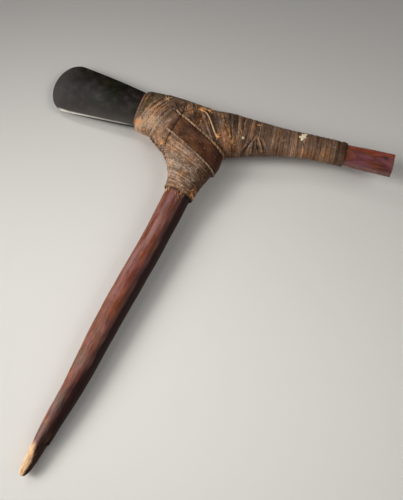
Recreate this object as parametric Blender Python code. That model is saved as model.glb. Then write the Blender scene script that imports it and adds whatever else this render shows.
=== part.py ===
"""A stone axe on a forked wooden haft, lying on its side on a level surface.

A polished stone blade is clamped between two wooden cheeks, which also clasp the tongue
of the haft. The haft is one forked branch: the grip, and an arm that runs back from the
fork as a counterweight. Split cane is wound over the socket, the fork and the neck, and
over the arm. A bark strap between two cane cords crosses the fork and holds the armpit.

The axe is modelled in its own plane: the grip runs down -Y from the fork at the origin,
the blade points to -X, the arm to +X, and Z is the thickness. An empty then lays it down
on the three points that it rests on. Lengths are in metres.
"""

import math

import bmesh
import bpy
import numpy as np
from mathutils import Matrix, Vector

# Clearance between pieces that touch.
GAP = 0.0003

# Stone blade. Its exposed length runs from the socket's mouth to the middle of the edge.
BLADE_EXPOSED = 0.1285
BLADE_BUTT = 0.056
BLADE_MOUTH_WIDTH = 0.0485
BLADE_FLARE_WIDTH = 0.0727
BLADE_FLARE_POWER = 0.8
BLADE_BUTT_WIDTH = 0.042
BLADE_EDGE_RADIUS = 0.044
BLADE_CORNER_ROUND = 0.007
BLADE_THICKNESS = 0.0165
BLADE_SIDE_THICKNESS = 0.0064
BLADE_EDGE_THICKNESS = 0.0009
BLADE_RAKE = math.radians(5.9)

# Socket: two wooden cheeks around the blade's butt and the haft's tongue.
CHEEK_LIP = 0.0008
CHEEK_THICKNESS = 0.0062
CHEEK_LENGTH = 0.087
CHEEK_PROUD = 0.0022
TONGUE_LENGTH = 0.026
TONGUE_HEIGHT = 0.040
TONGUE_THICKNESS = 0.011

# Fork and arm.
SOCKET_REACH = 0.0965
MOUTH_MID_Y = 0.0305
FORK_MID_Y = 0.0375
FORK_HEIGHT = 0.0585
FORK_THICKNESS = 0.039
ARM_REACH = 0.232
ARM_END_Y = 0.0972
ARM_END_HEIGHT = 0.0275
ARM_END_THICKNESS = 0.0205
ARM_CHAMFER = 0.0065
CHAMFER_DEPTH = 0.75
CHAMFER_STOP = 0.004

# Grip and neck.
GRIP_LENGTH = 0.382
GRIP_WIDTH = 0.0342
GRIP_THICKNESS = 0.0312
BUTT_SCAR_DEPTH = 0.0026
NECK_LENGTH = 0.062
NECK_SPREAD = 0.097
NECK_SHIFT = -0.0195
NECK_THICKNESS = 0.035

# Cane binding over socket, neck and arm.
BINDING_THICKNESS = 0.0024
TURN_PITCH = 0.0070
TURN_RELIEF = 0.0007
NECK_BINDING_LENGTH = 0.057
NECK_TURNS_LENGTH = 0.037
SEAM_FROM_NECK = 0.0063
ARM_BINDING_END = 0.1705

# Bark strap and the two cane cords along its edges.
STRAP_WIDTH = 0.0225
STRAP_THICKNESS = 0.0016
STRAP_LEAN = math.radians(-17.7)
STRAP_MIDDLE = (-0.0044, 0.0138)
STRAP_TUCK = 0.042
STRAP_BACK_TUCK = -0.012
CORD_WIDTH = 0.0030
CORD_THICKNESS = 0.0026
CORD_TUCK = 0.055

# Densities, for the balance that decides how the axe lies.
STONE_DENSITY = 2700.0
WOOD_DENSITY = 600.0
CANE_DENSITY = 600.0

# Mesh resolution.
SIDES = 18
CORE_STEP = 0.010
GRIP_STEP = 0.022
CUT_OVERRUN = 0.02
FAR = 0.5

# Wood of the head, from the mouth to the end of the arm. A row holds the share of the
# reach from the fork, the share of the climb of the middle line, how much of the fork's
# swell in height and in thickness is left there, and how square the section is.
SOCKET_ROWS = (
    (1.00, 0.00, 0.00, 0.00, 2.8),
    (0.75, 0.38, 0.55, 0.30, 2.8),
    (0.45, 0.68, 0.90, 0.62, 2.7),
    (0.05, 1.00, 1.00, 1.00, 2.6),
)
ARM_ROWS = (
    (0.11, 0.165, 0.840, 0.94, 2.5),
    (0.245, 0.330, 0.460, 0.66, 2.4),
    (0.35, 0.450, 0.205, 0.38, 2.4),
    (0.445, 0.555, 0.030, 0.20, 2.5),
    (0.55, 0.665, -0.080, 0.11, 2.8),
    (0.70, 0.775, -0.110, 0.05, 3.5),
    (0.755, 0.812, -0.080, 0.02, 4.5),
    (1.00, 1.000, 0.000, 0.00, 6.0),
)

# Wood of the grip, from the neck to the butt: share of the length, sideways wander as a
# share of the width, and the shares of the full width and thickness that are left.
GRIP_ROWS = (
    (0.00, 0.073, 1.00, 1.00),
    (0.17, 0.107, 0.98, 0.99),
    (0.335, 0.070, 0.965, 0.97),
    (0.52, 0.055, 0.91, 0.91),
    (0.66, 0.095, 0.80, 0.83),
    (0.74, 0.085, 0.72, 0.75),
    (0.815, 0.045, 0.67, 0.68),
    (0.88, 0.045, 0.58, 0.59),
    (0.95, 0.040, 0.44, 0.46),
    (0.982, 0.010, 0.34, 0.37),
    (1.00, -0.015, 0.23, 0.25),
)

# Wood of the neck, from the grip up into the head: share of the neck's length above the
# grip, share of its sideways shift, of its spread and of its gain in thickness.
NECK_ROWS = (
    (0.35, 0.05, 0.063, 0.10),
    (0.60, 0.21, 0.275, 0.45),
    (0.86, 0.50, 0.615, 0.80),
    (1.03, 1.00, 1.000, 1.00),
    (1.40, 0.80, 0.720, 0.30),
    (1.60, 0.60, 0.400, -1.60),
)


def smooth_rows(rows, where):
    """The rows' values at a place along their first column, by a Catmull-Rom curve."""
    table = np.array(rows, float)
    keys = table[:, 0]
    k = int(np.clip(np.searchsorted(keys, where) - 1, 0, len(keys) - 2))
    span = keys[k + 1] - keys[k]
    t = np.clip((where - keys[k]) / span, 0.0, 1.0)

    def slope(i):
        low, high = max(i - 1, 0), min(i + 1, len(keys) - 1)
        return (table[high] - table[low]) / (keys[high] - keys[low])

    a, b = table[k], table[k + 1]
    m0, m1 = slope(k) * span, slope(k + 1) * span
    value = (
        (2 * t**3 - 3 * t**2 + 1) * a
        + (t**3 - 2 * t**2 + t) * m0
        + (3 * t**2 - 2 * t**3) * b
        + (t**3 - t**2) * m1
    )
    value[0] = where
    return value


def head_rows():
    """Rows of the head's wood as x, middle y, height, thickness and squareness."""
    mouth_height = BLADE_MOUTH_WIDTH + 2 * CHEEK_LIP
    mouth_thickness = BLADE_THICKNESS + 2 * CHEEK_THICKNESS
    rows = []
    for share, climb, tall, thick, power in SOCKET_ROWS:
        rows.append((
            -share * SOCKET_REACH,
            MOUTH_MID_Y + climb * (FORK_MID_Y - MOUTH_MID_Y),
            mouth_height + tall * (FORK_HEIGHT - mouth_height),
            mouth_thickness + thick * (FORK_THICKNESS - mouth_thickness),
            power,
        ))
    for share, climb, tall, thick, power in ARM_ROWS:
        rows.append((
            share * ARM_REACH,
            FORK_MID_Y + climb * (ARM_END_Y - FORK_MID_Y),
            ARM_END_HEIGHT + tall * (FORK_HEIGHT - ARM_END_HEIGHT),
            ARM_END_THICKNESS + thick * (FORK_THICKNESS - ARM_END_THICKNESS),
            power,
        ))
    return rows


def limb_rows():
    """Rows of the grip and neck as y, middle x, width, thickness and squareness."""
    rows = []
    for share, aside, wide, thick in reversed(GRIP_ROWS):
        rows.append((
            -NECK_LENGTH - share * GRIP_LENGTH,
            aside * GRIP_WIDTH,
            wide * GRIP_WIDTH,
            thick * GRIP_THICKNESS,
            2.2,
        ))
    grip_aside = GRIP_ROWS[0][1] * GRIP_WIDTH
    for share, shift, spread, thick in NECK_ROWS:
        rows.append((
            -NECK_LENGTH + share * NECK_LENGTH,
            grip_aside + shift * (NECK_SHIFT - grip_aside),
            GRIP_WIDTH + spread * (NECK_SPREAD - GRIP_WIDTH),
            GRIP_THICKNESS + thick * (NECK_THICKNESS - GRIP_THICKNESS),
            2.4,
        ))
    return rows


def steps(start, end, size):
    """The start, the end, and the whole multiples of size well between them."""
    first, last = math.ceil(start / size + 0.3), math.floor(end / size - 0.3)
    return [start] + [k * size for k in range(first, last + 1)] + [end]


def ring(middle, across, half_width, half_thickness, power):
    """A closed section, as a superellipse square to the loft's line."""
    points = []
    for i in range(SIDES):
        angle = 2 * math.pi * (i + 0.5) / SIDES
        c, s = math.cos(angle), math.sin(angle)
        a = math.copysign(abs(c) ** (2 / power), c) * half_width
        t = math.copysign(abs(s) ** (2 / power), s) * half_thickness
        points.append(middle + across * a + Vector((0, 0, t)))
    return points


def head_ring(x, grow):
    """The head's section where its line passes x, grown outwards by grow."""
    rows = head_rows()
    inside = min(max(x, rows[0][0]), rows[-1][0])
    _, y, height, thickness, power = smooth_rows(rows, inside)
    step = CORE_STEP / 5
    ahead = smooth_rows(rows, min(inside + step, rows[-1][0]))
    behind = smooth_rows(rows, max(inside - step, rows[0][0]))
    along = Vector((ahead[0] - behind[0], ahead[1] - behind[1], 0)).normalized()
    middle = Vector((inside, y, 0)) + along * (x - inside)
    across = Vector((-along.y, along.x, 0))
    return ring(middle, across, height / 2 + grow, thickness / 2 + grow, power)


def limb_ring(y, grow):
    """The grip's or neck's section at height y, grown outwards by grow."""
    rows = limb_rows()
    inside = min(max(y, rows[0][0]), rows[-1][0])
    _, x, width, thickness, power = smooth_rows(rows, inside)
    across = Vector((-1, 0, 0))
    return ring(Vector((x, y, 0)), across, width / 2 + grow, thickness / 2 + grow, power)


def new_object(name, mesh):
    obj = bpy.data.objects.new(name, mesh)
    bpy.context.scene.collection.objects.link(obj)
    return obj


def solid_from(name, build):
    """An object whose closed mesh is made by build, with its faces pointing out."""
    bm = bmesh.new()
    build(bm)
    bmesh.ops.recalc_face_normals(bm, faces=bm.faces)
    mesh = bpy.data.meshes.new(name)
    bm.to_mesh(mesh)
    bm.free()
    return new_object(name, mesh)


def loft(name, rings):
    """A closed body through the rings, in order, with a flat cap at each end.

    Its sides are triangles, so that one body grown from another stays clear of it.
    """

    def build(bm):
        loops = [[bm.verts.new(p) for p in points] for points in rings]
        for a, b in zip(loops, loops[1:]):
            for i in range(SIDES):
                j = (i + 1) % SIDES
                bm.faces.new((a[i], a[j], b[j]))
                bm.faces.new((a[i], b[j], b[i]))
        bm.faces.new(loops[0])
        bm.faces.new(loops[-1])

    return solid_from(name, build)


def block(name, low, high, turn=0.0, pivot=(0.0, 0.0)):
    """A box between two corners, turned about Z at pivot."""

    def build(bm):
        size = Vector(high) - Vector(low)
        middle = (Vector(high) + Vector(low)) / 2
        bmesh.ops.create_cube(bm, size=1.0)
        bmesh.ops.scale(bm, vec=size, verts=bm.verts)
        bmesh.ops.translate(bm, vec=middle, verts=bm.verts)
        corner = (pivot[0], pivot[1], 0)
        bmesh.ops.rotate(bm, cent=corner, matrix=Matrix.Rotation(turn, 3, "Z"), verts=bm.verts)

    return solid_from(name, build)


def combine(base, operation, other, keep_other=False):
    """Joins, cuts or intersects base with other by an exact Boolean, and applies it."""
    modifier = base.modifiers.new("combine", "BOOLEAN")
    modifier.operation = operation
    modifier.solver = "EXACT"
    modifier.object = other
    graph = bpy.context.evaluated_depsgraph_get()
    mesh = bpy.data.meshes.new_from_object(base.evaluated_get(graph))
    base.modifiers.clear()
    base.data = mesh
    if not keep_other:
        bpy.data.objects.remove(other)
    return base


def copy_of(obj, name):
    return new_object(name, obj.data.copy())


def head_body(name, grow, start, end, step=CORE_STEP):
    return loft(name, [head_ring(x, grow) for x in steps(start, end, step)])


def limb_body(name, grow, start, end, step=CORE_STEP):
    return loft(name, [limb_ring(y, grow) for y in steps(start, end, step)])


def neck_top():
    return limb_rows()[-1][0]


def envelope(name, grow, overrun):
    """Head and neck together, grown by grow, running past the ends by overrun."""
    head = head_body(name, grow, -SOCKET_REACH - overrun, ARM_REACH)
    neck = limb_body("neck_part", grow, -NECK_BINDING_LENGTH - overrun, neck_top())
    return combine(head, "UNION", neck)


def wound_rings(section, start, end, outer):
    """Sections that rise and fall by one cane's relief over each turn of the winding."""
    turns = max(1, round(abs(end - start) / TURN_PITCH))
    places = np.linspace(start, end, 2 * turns + 1)
    return [section(p, outer - (TURN_RELIEF if k % 2 == 0 else 0.0)) for k, p in enumerate(places)]


def blade_point(along, across, height=0.0):
    """A point given in the blade's own directions, from the middle of the mouth."""
    c, s = math.cos(BLADE_RAKE), math.sin(BLADE_RAKE)
    x = -SOCKET_REACH - along * c - across * s
    y = MOUTH_MID_Y - along * s + across * c
    return Vector((x, y, height))


def blade_half_width(along):
    full = BLADE_EXPOSED - BLADE_CORNER_ROUND - 0.3 * BLADE_EDGE_RADIUS
    if along >= 0:
        share = min(along / full, 1.0) ** BLADE_FLARE_POWER
        return (BLADE_MOUTH_WIDTH + share * (BLADE_FLARE_WIDTH - BLADE_MOUTH_WIDTH)) / 2
    share = -along / BLADE_BUTT
    narrow = share**1.6 * (BLADE_MOUTH_WIDTH - BLADE_BUTT_WIDTH)
    return (BLADE_MOUTH_WIDTH - narrow) / 2


def blade_solid(name, grow=0.0):
    """The stone: two polished faces, narrow flat sides and a curved cutting edge."""
    rows, columns = 18, 10
    butt = -BLADE_BUTT - grow

    def edge_reach(k):
        """How far the cutting edge reaches at the share k of the half width."""
        aside = abs(k) * BLADE_FLARE_WIDTH / 2
        bow = BLADE_EDGE_RADIUS - math.sqrt(max(BLADE_EDGE_RADIUS**2 - aside**2, 0.0))
        corner = BLADE_CORNER_ROUND * max(0.0, (abs(k) - 0.78) / 0.22) ** 3
        return BLADE_EXPOSED - bow - corner

    def heights(along, k, reach):
        """Half thickness of the stone at a place."""
        left = (reach - along) / (reach + BLADE_BUTT)
        thin = min(1.0, (max(left, 0.0) / 0.42)) ** 0.62
        butt_thin = 1.0 - 0.30 * max(0.0, -along / BLADE_BUTT) ** 2
        crown = BLADE_THICKNESS / 2 * thin * butt_thin
        side = BLADE_SIDE_THICKNESS / 2 * thin * butt_thin
        lens = side + (crown - side) * (1 - abs(k) ** 2.3)
        return max(lens, BLADE_EDGE_THICKNESS / 2) + grow

    def build(bm):
        front, back = [], []
        for i in range(rows + 1):
            share = 1 - (1 - i / rows) ** 1.25
            front_row, back_row = [], []
            for j in range(columns + 1):
                k = math.sin((j / columns * 2 - 1) * math.pi / 2)
                reach = edge_reach(k) + grow
                along = butt + share * (reach - butt)
                across = k * (blade_half_width(along) + grow)
                z = heights(along, k, reach)
                front_row.append(bm.verts.new(blade_point(along, across, z)))
                back_row.append(bm.verts.new(blade_point(along, across, -z)))
            front.append(front_row)
            back.append(back_row)
        for i in range(rows):
            for j in range(columns):
                bm.faces.new((front[i][j], front[i][j + 1], front[i + 1][j + 1], front[i + 1][j]))
                bm.faces.new((back[i][j], back[i + 1][j], back[i + 1][j + 1], back[i][j + 1]))
            for j in (0, columns):
                bm.faces.new((front[i][j], front[i + 1][j], back[i + 1][j], back[i][j]))
        for i in (0, rows):
            for j in range(columns):
                bm.faces.new((front[i][j], front[i][j + 1], back[i][j + 1], back[i][j]))

    return solid_from(name, build)


def socket_zone(name, shrink):
    """The room that cheeks and blade take out of the head, square to the blade."""
    pivot = (-SOCKET_REACH, MOUTH_MID_Y)
    floor = MOUTH_MID_Y - BLADE_MOUTH_WIDTH / 2 - CHEEK_LIP / 2
    low = (-FAR, floor + shrink, -FAR)
    high = (-SOCKET_REACH - CHEEK_PROUD + CHEEK_LENGTH - shrink, FAR, FAR)
    return block(name, low, high, BLADE_RAKE, pivot)


def tongue_solid(name, grow):
    """The flat tongue of the haft that the cheeks clasp behind the blade."""
    pivot = (-SOCKET_REACH, MOUTH_MID_Y)
    root = -SOCKET_REACH - CHEEK_PROUD + CHEEK_LENGTH
    low = (root - TONGUE_LENGTH - grow, MOUTH_MID_Y - TONGUE_HEIGHT / 2 - grow, -TONGUE_THICKNESS / 2 - grow)
    high = (root + TONGUE_HEIGHT / 2, MOUTH_MID_Y + TONGUE_HEIGHT / 2 + grow, TONGUE_THICKNESS / 2 + grow)
    return block(name, low, high, BLADE_RAKE, pivot)


def chamfer_cutter(name, side):
    """Takes the top corner off the bare end of the arm, on the front or the back."""
    end, behind = (smooth_rows(head_rows(), x) for x in (ARM_REACH, ARM_BINDING_END))
    along = Vector((end[0] - behind[0], end[1] - behind[1], 0)).normalized()
    across = Vector((-along.y, along.x, 0))
    middle = Vector((ARM_REACH, ARM_END_Y, 0))
    through = Vector((0, 0, side))
    corner = middle + across * ARM_END_HEIGHT / 2 + through * ARM_END_THICKNESS / 2
    run = along * (ARM_REACH - ARM_BINDING_END - CHAMFER_STOP)
    past = along * CUT_OVERRUN

    def build(bm):
        depth = ARM_CHAMFER * CHAMFER_DEPTH
        profile = (
            corner - across * ARM_CHAMFER + through * CUT_OVERRUN,
            corner - across * ARM_CHAMFER,
            corner - through * depth,
            corner - through * depth + across * CUT_OVERRUN,
            corner + across * CUT_OVERRUN + through * CUT_OVERRUN,
        )
        near_end = [bm.verts.new(p + past) for p in profile]
        far_end = [bm.verts.new(p - run) for p in profile]
        for i in range(len(profile)):
            j = (i + 1) % len(profile)
            bm.faces.new((near_end[i], near_end[j], far_end[j], far_end[i]))
        bm.faces.new(near_end)
        bm.faces.new(far_end)

    return solid_from(name, build)


def haft_solid(name):
    """The forked branch: grip, neck, fork, arm and tongue, in one piece."""
    butt = -NECK_LENGTH - GRIP_LENGTH
    tip_steps = [butt + r * GRIP_LENGTH for r in (0.0, 0.018, 0.05)]
    grip_steps = steps(butt + 0.09 * GRIP_LENGTH, -NECK_BINDING_LENGTH, GRIP_STEP)
    neck_steps = steps(-NECK_BINDING_LENGTH, neck_top(), CORE_STEP)[1:]
    haft = loft(name, [limb_ring(y, 0.0) for y in tip_steps + grip_steps + neck_steps])
    arm_steps = steps(-SOCKET_REACH, ARM_REACH, CORE_STEP)
    combine(haft, "UNION", loft("arm_part", [head_ring(x, 0.0) for x in arm_steps]))
    combine(haft, "DIFFERENCE", socket_zone("zone_cutter", 0.0))
    combine(haft, "UNION", tongue_solid("tongue_part", 0.0))
    for side in (1, -1):
        combine(haft, "DIFFERENCE", chamfer_cutter("chamfer_cutter", side))
    combine(haft, "DIFFERENCE", butt_scar("scar_cutter"))
    return haft


def butt_scar(name):
    """A flake has split off one side of the worn butt, and left a step."""
    top = -NECK_LENGTH - 0.885 * GRIP_LENGTH
    width = smooth_rows(limb_rows(), top)[2]
    aside = smooth_rows(limb_rows(), top)[1]
    face = aside + width / 2 - BUTT_SCAR_DEPTH
    low = (face, top - 0.10 * GRIP_LENGTH, -GRIP_THICKNESS)
    high = (face + GRIP_WIDTH, top, GRIP_THICKNESS)
    return block(name, low, high, math.radians(-4.0), (face, top))


def cheek_solid(name, side, wood):
    """One cheek of the socket, hollowed to the blade's face and the tongue's."""
    cheek = copy_of(wood, name)
    combine(cheek, "INTERSECT", socket_zone("zone", GAP))
    parting = BLADE_SIDE_THICKNESS / 3
    low = (-FAR, -FAR, parting if side > 0 else -FAR)
    high = (FAR, FAR, FAR if side > 0 else -parting)
    combine(cheek, "INTERSECT", block("half", low, high))
    combine(cheek, "DIFFERENCE", blade_solid("blade_room", GAP))
    combine(cheek, "DIFFERENCE", tongue_solid("tongue_room", GAP))
    return cheek


def binding_solids(room):
    """The wound cane: one jacket on socket, fork and neck, and one along the arm."""
    outer = GAP + BINDING_THICKNESS
    seam = NECK_SHIFT + NECK_SPREAD / 2 + outer + SEAM_FROM_NECK
    head = head_body("junction_binding", outer, -SOCKET_REACH, seam)
    last_turn = round((NECK_TURNS_LENGTH - NECK_BINDING_LENGTH) / CORE_STEP) * CORE_STEP
    neck_rings = wound_rings(limb_ring, -NECK_BINDING_LENGTH, last_turn, outer)
    neck_rings += [limb_ring(y, outer) for y in steps(last_turn, neck_top(), CORE_STEP)[1:]]
    neck = loft("neck_winding", neck_rings)
    combine(head, "UNION", neck)
    combine(head, "DIFFERENCE", room, keep_other=True)
    arm = loft("arm_binding", wound_rings(head_ring, seam + GAP, ARM_BINDING_END, outer))
    combine(arm, "DIFFERENCE", room, keep_other=True)
    return head, arm


def band_block(name, low_across, high_across, tuck):
    """The slanting slab that a strap or cord lies in, open towards the armpit."""
    x, y = STRAP_MIDDLE
    low = (x - tuck, y + low_across, -FAR)
    high = (x + FAR, y + high_across, FAR)
    return block(name, low, high, STRAP_LEAN, STRAP_MIDDLE)


def band_solid(name, low_across, high_across, tuck, thickness):
    """A band on the binding's surface, over the front, round the armpit, and back."""
    inner = 2 * GAP + BINDING_THICKNESS
    band = envelope(name, inner + thickness, CUT_OVERRUN / 2)
    combine(band, "DIFFERENCE", envelope("band_room", inner, CUT_OVERRUN))
    combine(band, "INTERSECT", band_block("slab", low_across, high_across, tuck))
    x, y = STRAP_MIDDLE
    low = (x - FAR, y - FAR, -FAR)
    high = (x - STRAP_BACK_TUCK, y + FAR, 0)
    combine(band, "DIFFERENCE", block("under_winding", low, high, STRAP_LEAN, STRAP_MIDDLE))
    return band


def weight_and_middle(obj):
    """Volume and centroid of a closed mesh."""
    mesh = obj.data
    mesh.calc_loop_triangles()
    points = np.array([v.co for v in mesh.vertices], float)
    triangles = points[np.array([t.vertices[:] for t in mesh.loop_triangles])]
    volumes = np.linalg.det(triangles) / 6
    return volumes.sum(), (triangles.sum(axis=1) / 4 * volumes[:, None]).sum(axis=0) / volumes.sum()


def laid_down(nodes):
    """The turn and shift that set the axe down on the hull's face under its balance."""
    mass, moment = 0.0, np.zeros(3)
    for obj, density in nodes:
        volume, middle = weight_and_middle(obj)
        mass += volume * density
        moment += volume * density * middle
    bm = bmesh.new()
    for obj, _ in nodes:
        for vertex in obj.data.vertices:
            bm.verts.new(vertex.co)
    hull = bmesh.ops.convex_hull(bm, input=bm.verts)
    faces = [f for f in hull["geom"] if isinstance(f, bmesh.types.BMFace)]
    corners = [np.array([v.co for v in f.verts], float) for f in faces]
    turn = np.eye(3)
    for _ in range(12):
        under = face_under(corners, turn, moment / mass)
        normal = np.cross(under[1] - under[0], under[2] - under[0])
        normal /= np.linalg.norm(normal)
        if normal[2] > 0:
            normal = -normal
        tip = Vector(normal).rotation_difference(Vector((0, 0, -1)))
        turn = np.array(tip.to_matrix()) @ turn
        if abs(normal[2] + 1) < 1e-10:
            break
    points = np.array([v.co for v in bm.verts], float) @ turn.T
    bm.free()
    low, high = points.min(axis=0), points.max(axis=0)
    shift = Vector((-(low[0] + high[0]) / 2, -(low[1] + high[1]) / 2, -low[2]))
    return Matrix.Translation(shift) @ Matrix(turn.tolist()).to_4x4()


def face_under(corners, turn, balance):
    """The lowest hull face straight below the balance, as the body is turned now."""
    middle = turn @ balance
    best = None
    for face in corners:
        a, b, c = face[:3] @ turn.T
        sides = [np.cross((q - p)[:2], (middle - p)[:2]) for p, q in ((a, b), (b, c), (c, a))]
        if min(sides) < 0 < max(sides):
            continue
        height = (a + b + c)[2] / 3
        if best is None or height < best[0]:
            best = (height, (a, b, c))
    return best[1]


def material(name, colour, roughness, metallic=0.0):
    made = bpy.data.materials.new(name)
    made.use_nodes = True
    shader = made.node_tree.nodes["Principled BSDF"]
    shader.inputs["Base Color"].default_value = (*colour, 1.0)
    shader.inputs["Roughness"].default_value = roughness
    shader.inputs["Metallic"].default_value = metallic
    made.diffuse_color = (*colour, 1.0)
    return made


def finish(obj, finish_material, smooth_angle):
    obj.data.materials.clear()
    obj.data.materials.append(finish_material)
    obj.data.shade_smooth()
    obj.data.set_sharp_from_angle(angle=math.radians(smooth_angle))


def build_axe():
    for obj in list(bpy.data.objects):
        bpy.data.objects.remove(obj)

    wood = envelope("wood", 0.0, CHEEK_PROUD)
    room = envelope("room", GAP, CUT_OVERRUN)
    blade = blade_solid("stone_blade")
    haft = haft_solid("haft")
    cheek_front = cheek_solid("socket_cheek_front", 1, wood)
    cheek_back = cheek_solid("socket_cheek_back", -1, wood)
    junction, arm = binding_solids(room)
    half = STRAP_WIDTH / 2
    strap = band_solid("bark_strap", -half, half, STRAP_TUCK, STRAP_THICKNESS)
    upper = band_solid("strap_cord_upper", half + GAP, half + GAP + CORD_WIDTH, CORD_TUCK, CORD_THICKNESS)
    lower = band_solid("strap_cord_lower", -half - GAP - CORD_WIDTH, -half - GAP, STRAP_TUCK, CORD_THICKNESS)
    for helper in (wood, room):
        bpy.data.objects.remove(helper)

    stone = material("polished_stone", (0.035, 0.036, 0.033), 0.32)
    dark_wood = material("dark_wood", (0.13, 0.045, 0.026), 0.42)
    cheek_wood = material("socket_wood", (0.24, 0.13, 0.075), 0.65)
    cane = material("old_cane", (0.14, 0.085, 0.05), 0.7)
    bark = material("bark", (0.09, 0.05, 0.03), 0.6)
    for obj, look, angle in (
        (blade, stone, 35), (haft, dark_wood, 35), (cheek_front, cheek_wood, 35),
        (cheek_back, cheek_wood, 35), (junction, cane, 40), (arm, cane, 40),
        (strap, bark, 35), (upper, cane, 35), (lower, cane, 35),
    ):
        finish(obj, look, angle)

    nodes = [(blade, STONE_DENSITY), (haft, WOOD_DENSITY)]
    nodes += [(cheek, WOOD_DENSITY) for cheek in (cheek_front, cheek_back)]
    nodes += [(piece, CANE_DENSITY) for piece in (junction, arm, strap, upper, lower)]
    at_rest = bpy.data.objects.new("axe_at_rest", None)
    bpy.context.scene.collection.objects.link(at_rest)
    at_rest.matrix_world = laid_down(nodes)
    for obj, _ in nodes:
        obj.parent = at_rest
    bpy.context.view_layer.update()


build_axe()
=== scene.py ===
import math
import random

import bmesh
import bpy
import numpy as np
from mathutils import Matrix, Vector, noise
from mathutils.bvhtree import BVHTree


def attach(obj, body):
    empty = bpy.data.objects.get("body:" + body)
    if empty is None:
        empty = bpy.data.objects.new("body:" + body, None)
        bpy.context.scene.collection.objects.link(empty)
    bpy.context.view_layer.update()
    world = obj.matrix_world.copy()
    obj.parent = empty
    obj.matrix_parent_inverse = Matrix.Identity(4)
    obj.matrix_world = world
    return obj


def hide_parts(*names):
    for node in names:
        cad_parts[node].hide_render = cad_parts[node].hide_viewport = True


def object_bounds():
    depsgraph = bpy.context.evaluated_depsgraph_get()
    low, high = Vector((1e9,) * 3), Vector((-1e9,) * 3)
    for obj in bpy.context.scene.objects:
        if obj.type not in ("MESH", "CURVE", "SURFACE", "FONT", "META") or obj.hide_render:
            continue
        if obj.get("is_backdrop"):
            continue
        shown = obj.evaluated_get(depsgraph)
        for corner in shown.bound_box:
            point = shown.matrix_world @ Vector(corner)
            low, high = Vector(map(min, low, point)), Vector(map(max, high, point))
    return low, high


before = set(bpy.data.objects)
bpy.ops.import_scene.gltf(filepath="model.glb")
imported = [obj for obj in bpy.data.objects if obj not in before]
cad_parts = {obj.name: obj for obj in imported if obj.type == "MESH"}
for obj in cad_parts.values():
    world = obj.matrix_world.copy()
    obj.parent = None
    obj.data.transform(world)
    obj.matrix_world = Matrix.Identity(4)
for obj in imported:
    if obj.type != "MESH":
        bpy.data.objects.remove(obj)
cad_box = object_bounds()

# The stage is a pale paper floor that the axe lies on, seen from almost straight above.
# A window on the left, with a second pane close by, throws the soft shadows to the right.
# A small high pane puts the long sheen on the grip, and a pale wall on the right gives some light back.
scene = bpy.context.scene
scene.view_settings.view_transform = "Standard"
AIM = Vector((0.05774, 0.05853, 0.02))
CAMERA_TURN = math.radians(26.957)
CAMERA_RISE = math.radians(72)
CAMERA_DISTANCE = 0.95486
CAMERA_LENS = 55
FLOOR_WIDTH = 8
PAPER_COLOUR = (0.80, 0.782, 0.750)
FIBRE_COLOUR = (0.788, 0.77027, 0.73875)
DAYLIGHT_COLOUR = (1.0, 0.985, 0.96)
SKY_COLOUR = (0.90, 0.95, 1.0, 1)
SKY_STRENGTH = 0.02
LIGHTS = (
    # name, place and aim in metres right, up the picture and above the floor, size, power, spread
    ("window", (-1.344, -0.141, 0.946), (0.15, -0.30), 1.0, 2.45, 46),
    ("near_pane", (-0.629, -0.169, 0.546), (-0.25, -0.20), 0.7, 1.18, 120),
    ("high_pane", (-0.70, 0.80, 0.95), (-0.07, -0.08), 0.35, 0.19, 34),
    ("pale_wall", (0.975, -0.172, 0.990), (0.05, -0.05), 1.0, 1.42, 75),
)


def deselect():
    bpy.ops.object.select_all(action="DESELECT")


def part(tree, kind, inputs=None, **settings):
    """A shader node with its settings and its inputs, each a value or another node's socket."""
    made = tree.nodes.new("ShaderNode" + kind)
    for name, value in settings.items():
        setattr(made, name, value)
    for name, value in (inputs or {}).items():
        if isinstance(value, bpy.types.NodeSocket):
            tree.links.new(value, made.inputs[name])
        else:
            made.inputs[name].default_value = value
    return made


def new_finish(name):
    made = bpy.data.materials.new(name)
    made.use_nodes = True
    return made, made.node_tree, made.node_tree.nodes["Principled BSDF"]


def own_place(tree):
    return part(tree, "TexCoord").outputs["Object"]


def clouds(tree, place, stretch, detail=4, roughness=0.55, distortion=0.0):
    """Noise over the vector place, with stretch cells to the metre, or as many along each of its ways."""
    if not isinstance(stretch, tuple):
        stretch = (stretch, stretch, stretch)
    spread = part(tree, "VectorMath", {0: place, 1: stretch}, operation="MULTIPLY").outputs[0]
    settings = {"Detail": detail, "Roughness": roughness, "Distortion": distortion}
    return part(tree, "TexNoise", {"Vector": spread, "Scale": 1.0, **settings}).outputs["Fac"]


def ranged(tree, value, low, high, start=0.0, end=1.0):
    limits = {"From Min": low, "From Max": high, "To Min": start, "To Max": end}
    return part(tree, "MapRange", {"Value": value, **limits}).outputs[0]


def swung(tree, cloud, start=0.0, end=1.0):
    """From start to end over the values that most of a noise lies between."""
    return ranged(tree, cloud, 0.3, 0.7, start, end)


def mixed(tree, amount, first, second, blend="MIX"):
    """Two colours mixed by an amount from 0 to 1, each a socket or red, green and blue."""
    first, second = ((*c, 1) if isinstance(c, tuple) else c for c in (first, second))
    made = part(tree, "Mix", {0: amount, 6: first, 7: second}, data_type="RGBA", blend_type=blend)
    return made.outputs[2]


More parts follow.
